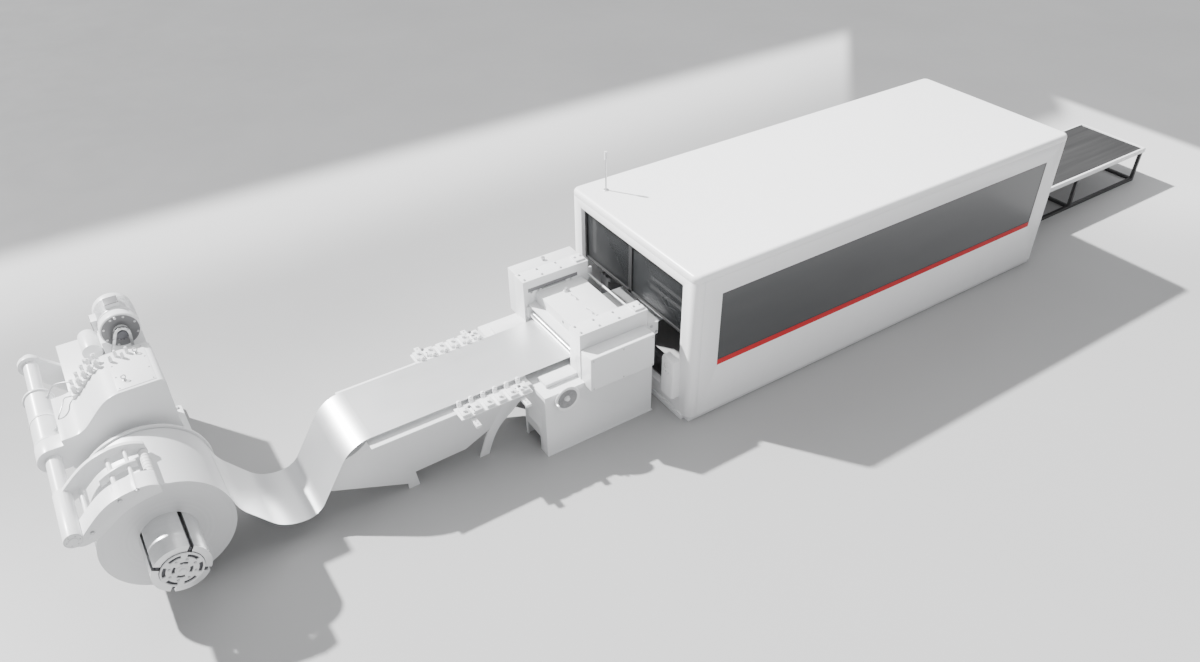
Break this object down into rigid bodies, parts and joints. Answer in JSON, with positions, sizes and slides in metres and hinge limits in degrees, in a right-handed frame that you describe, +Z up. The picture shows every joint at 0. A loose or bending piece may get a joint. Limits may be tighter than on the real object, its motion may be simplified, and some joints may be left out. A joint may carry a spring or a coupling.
{
  "type": "fiber laser cutting machine",
  "caption": "Coil-fed laser cutting line: decoiler, free loop, entry table, straightener, long closed laser enclosure with dark windows and a belt conveyor at the exit.",
  "frame": {"origin": "on the floor, on the line's centre plane, at the entry face of the laser enclosure", "axes": "+X along the feed towards the exit conveyor, +Y towards the drive side, +Z up"},
  "size_m": [19.225, 4.365, 3.002],
  "materials": {
    "painted_white": "satin powder coat",
    "painted_light_grey": "satin paint",
    "painted_mid_grey": "satin paint",
    "strip_steel": "cold rolled, bright",
    "bright_steel": "turned",
    "dark_steel": "oiled",
    "cast_grey": "as cast",
    "chromed_roll": "ground",
    "rubber_light": "moulded",
    "dark_glass": "tinted",
    "red_paint": "gloss paint",
    "light_plastic": "moulded",
    "grey_plastic": "moulded",
    "anodised": "anodised",
    "black_paint": "satin paint",
    "belt_rubber": "woven belt with rubber face"
  },
  "bodies": {
    "line": {"strip": "strip_steel", "decoiler_base": "painted_light_grey", "decoiler_housing": "painted_mid_grey", "shaft_bearings": "cast_grey", "arm_actuator": "painted_light_grey", "drive_motor": "painted_mid_grey", "drive_chain": "dark_steel", "hydraulic_unit": "painted_light_grey", "table_stand": "painted_light_grey", "straightener_base": "painted_light_grey", "side_frames": "painted_light_grey", "drive_housing": "painted_light_grey", "side_cover": "painted_light_grey", "plinth": "painted_mid_grey", "roof_panel": "painted_white", "near_wall": "painted_white", "far_wall": "painted_white", "entry_portal": "painted_white", "exit_wall": "painted_white", "near_window": "dark_glass", "far_window": "dark_glass", "accent_stripes": "red_paint", "entry_shields": "dark_glass", "signal_mast": "grey_plastic", "control_box": "painted_white", "machine_bed": "painted_mid_grey", "support_slats": "dark_steel", "laser_source": "painted_white", "conveyor_frame": "painted_light_grey", "conveyor_belt": "belt_rubber", "conveyor_stand": "black_paint"},
    "mandrel": {"mandrel_shaft": "dark_steel", "back_disc": "painted_light_grey", "mandrel_nose": "painted_light_grey", "coil": "strip_steel", "shaft_sprocket": "dark_steel"},
    "segment_1": {"mandrel_segment_1": "bright_steel"},
    "segment_2": {"mandrel_segment_2": "bright_steel"},
    "segment_3": {"mandrel_segment_3": "bright_steel"},
    "segment_4": {"mandrel_segment_4": "bright_steel"},
    "motor_sprocket": {"motor_sprocket": "dark_steel"},
    "arm": {"arm_tube": "painted_light_grey", "hold_down_arm": "painted_light_grey"},
    "press_roller": {"press_roller": "rubber_light"},
    "near_guide": {"near_guide": "painted_light_grey"},
    "far_guide": {"far_guide": "painted_light_grey"},
    "entry_roll_lower": {"entry_roll_lower": "chromed_roll"},
    "exit_roll_lower": {"exit_roll_lower": "chromed_roll"},
    "middle_roll_lower": {"middle_roll_lower": "chromed_roll"},
    "upper_head": {"upper_head": "painted_light_grey"},
    "entry_roll_upper": {"entry_roll_upper": "chromed_roll"},
    "exit_roll_upper": {"exit_roll_upper": "chromed_roll"},
    "middle_roll_upper": {"middle_roll_upper": "chromed_roll"},
    "hand_wheel": {"hand_wheel": "chromed_roll"},
    "gantry": {"gantry_beam": "painted_light_grey"},
    "carriage": {"head_carriage": "painted_mid_grey"},
    "cutting_head": {"cutting_head": "anodised"},
    "push_button": {"push_button": "light_plastic"},
    "tail_drum": {"tail_drum": "chromed_roll"},
    "drive_drum": {"drive_drum": "chromed_roll"}
  },
  "joints": [
    {"name": "coil_spin", "type": "hinge", "parent": "line", "child": "mandrel", "pos_m": [-6.41, 0, 0.914], "axis": [0, 1, 0], "continuous": true},
    {"name": "segment_1_slide", "type": "slide", "parent": "mandrel", "child": "segment_1", "axis": [-0.2079, 0, 0.9781], "range_m": [-0.012, 0]},
    {"name": "segment_2_slide", "type": "slide", "parent": "mandrel", "child": "segment_2", "axis": [-0.9781, 0, -0.2079], "range_m": [-0.012, 0]},
    {"name": "segment_3_slide", "type": "slide", "parent": "mandrel", "child": "segment_3", "axis": [0.2079, 0, -0.9781], "range_m": [-0.012, 0]},
    {"name": "segment_4_slide", "type": "slide", "parent": "mandrel", "child": "segment_4", "axis": [0.9781, 0, 0.2079], "range_m": [-0.012, 0]},
    {"name": "motor_sprocket_spin", "type": "hinge", "parent": "line", "child": "motor_sprocket", "pos_m": [-6.12, 1.66, 2.18], "axis": [0, 1, 0], "continuous": true},
    {"name": "arm_lift", "type": "hinge", "parent": "line", "child": "arm", "pos_m": [-7.22, 0, 1.46], "axis": [0, -1, 0], "range_deg": [0, 60]},
    {"name": "press_roller_spin", "type": "hinge", "parent": "arm", "child": "press_roller", "pos_m": [-6.36, -0.26, 1.67265], "axis": [0, 1, 0], "continuous": true},
    {"name": "near_guide_slide", "type": "slide", "parent": "line", "child": "near_guide", "axis": [0, -1, 0], "range_m": [0, 0.12]},
    {"name": "far_guide_slide", "type": "slide", "parent": "line", "child": "far_guide", "axis": [0, 1, 0], "range_m": [0, 0.12]},
    {"name": "entry_roll_lower_spin", "type": "hinge", "parent": "line", "child": "entry_roll_lower", "pos_m": [-1.225, 0, 1.0617], "axis": [0, 1, 0], "continuous": true},
    {"name": "exit_roll_lower_spin", "type": "hinge", "parent": "line", "child": "exit_roll_lower", "pos_m": [-0.44, 0, 1.0617], "axis": [0, 1, 0], "continuous": true},
    {"name": "middle_roll_lower_spin", "type": "hinge", "parent": "line", "child": "middle_roll_lower", "pos_m": [-0.82, 0, 1.0707], "axis": [0, 1, 0], "continuous": true},
    {"name": "head_lift", "type": "slide", "parent": "line", "child": "upper_head", "axis": [0, 0, 1], "range_m": [0, 0.06]},
    {"name": "entry_roll_upper_spin", "type": "hinge", "parent": "upper_head", "child": "entry_roll_upper", "pos_m": [-1.225, 0, 1.1753], "axis": [0, 1, 0], "continuous": true},
    {"name": "exit_roll_upper_spin", "type": "hinge", "parent": "upper_head", "child": "exit_roll_upper", "pos_m": [-0.44, 0, 1.1753], "axis": [0, 1, 0], "continuous": true},
    {"name": "middle_roll_upper_spin", "type": "hinge", "parent": "upper_head", "child": "middle_roll_upper", "pos_m": [-0.9, 0, 1.1663], "axis": [0, 1, 0], "continuous": true},
    {"name": "hand_wheel_turn", "type": "hinge", "parent": "line", "child": "hand_wheel", "pos_m": [-1.62, -0.93, 0.905], "axis": [0, -1, 0], "range_deg": [-720, 720]},
    {"name": "gantry_x", "type": "slide", "parent": "line", "child": "gantry", "axis": [1, 0, 0], "range_m": [0, 3.2]},
    {"name": "carriage_y", "type": "slide", "parent": "gantry", "child": "carriage", "axis": [0, 1, 0], "range_m": [-0.75, 0.75]},
    {"name": "head_z", "type": "slide", "parent": "carriage", "child": "cutting_head", "axis": [0, 0, 1], "range_m": [0, 0.1]},
    {"name": "push_button_press", "type": "slide", "parent": "line", "child": "push_button", "axis": [1, 0, 0], "range_m": [0, 0.006], "stiffness_N_per_m": 400},
    {"name": "drive_drum_spin", "type": "hinge", "parent": "line", "child": "drive_drum", "pos_m": [11.739, 0, 0.6577], "axis": [0, 1, 0], "continuous": true},
    {"name": "tail_drum_spin", "type": "hinge", "parent": "line", "child": "tail_drum", "pos_m": [5.476, 0, 0.6577], "axis": [0, 1, 0], "continuous": true}
  ],
  "couplings": [
    {"joint": "segment_2_slide", "follows": "segment_1_slide", "ratio": 1},
    {"joint": "segment_3_slide", "follows": "segment_1_slide", "ratio": 1},
    {"joint": "segment_4_slide", "follows": "segment_1_slide", "ratio": 1},
    {"joint": "motor_sprocket_spin", "follows": "coil_spin", "ratio": 3.3077},
    {"joint": "far_guide_slide", "follows": "near_guide_slide", "ratio": 1},
    {"joint": "exit_roll_lower_spin", "follows": "entry_roll_lower_spin", "ratio": 1},
    {"joint": "middle_roll_lower_spin", "follows": "entry_roll_lower_spin", "ratio": 1.1957},
    {"joint": "entry_roll_upper_spin", "follows": "entry_roll_lower_spin", "ratio": -1},
    {"joint": "exit_roll_upper_spin", "follows": "entry_roll_lower_spin", "ratio": -1},
    {"joint": "middle_roll_upper_spin", "follows": "entry_roll_lower_spin", "ratio": -1.1957},
    {"joint": "tail_drum_spin", "follows": "drive_drum_spin", "ratio": 1}
  ]
}
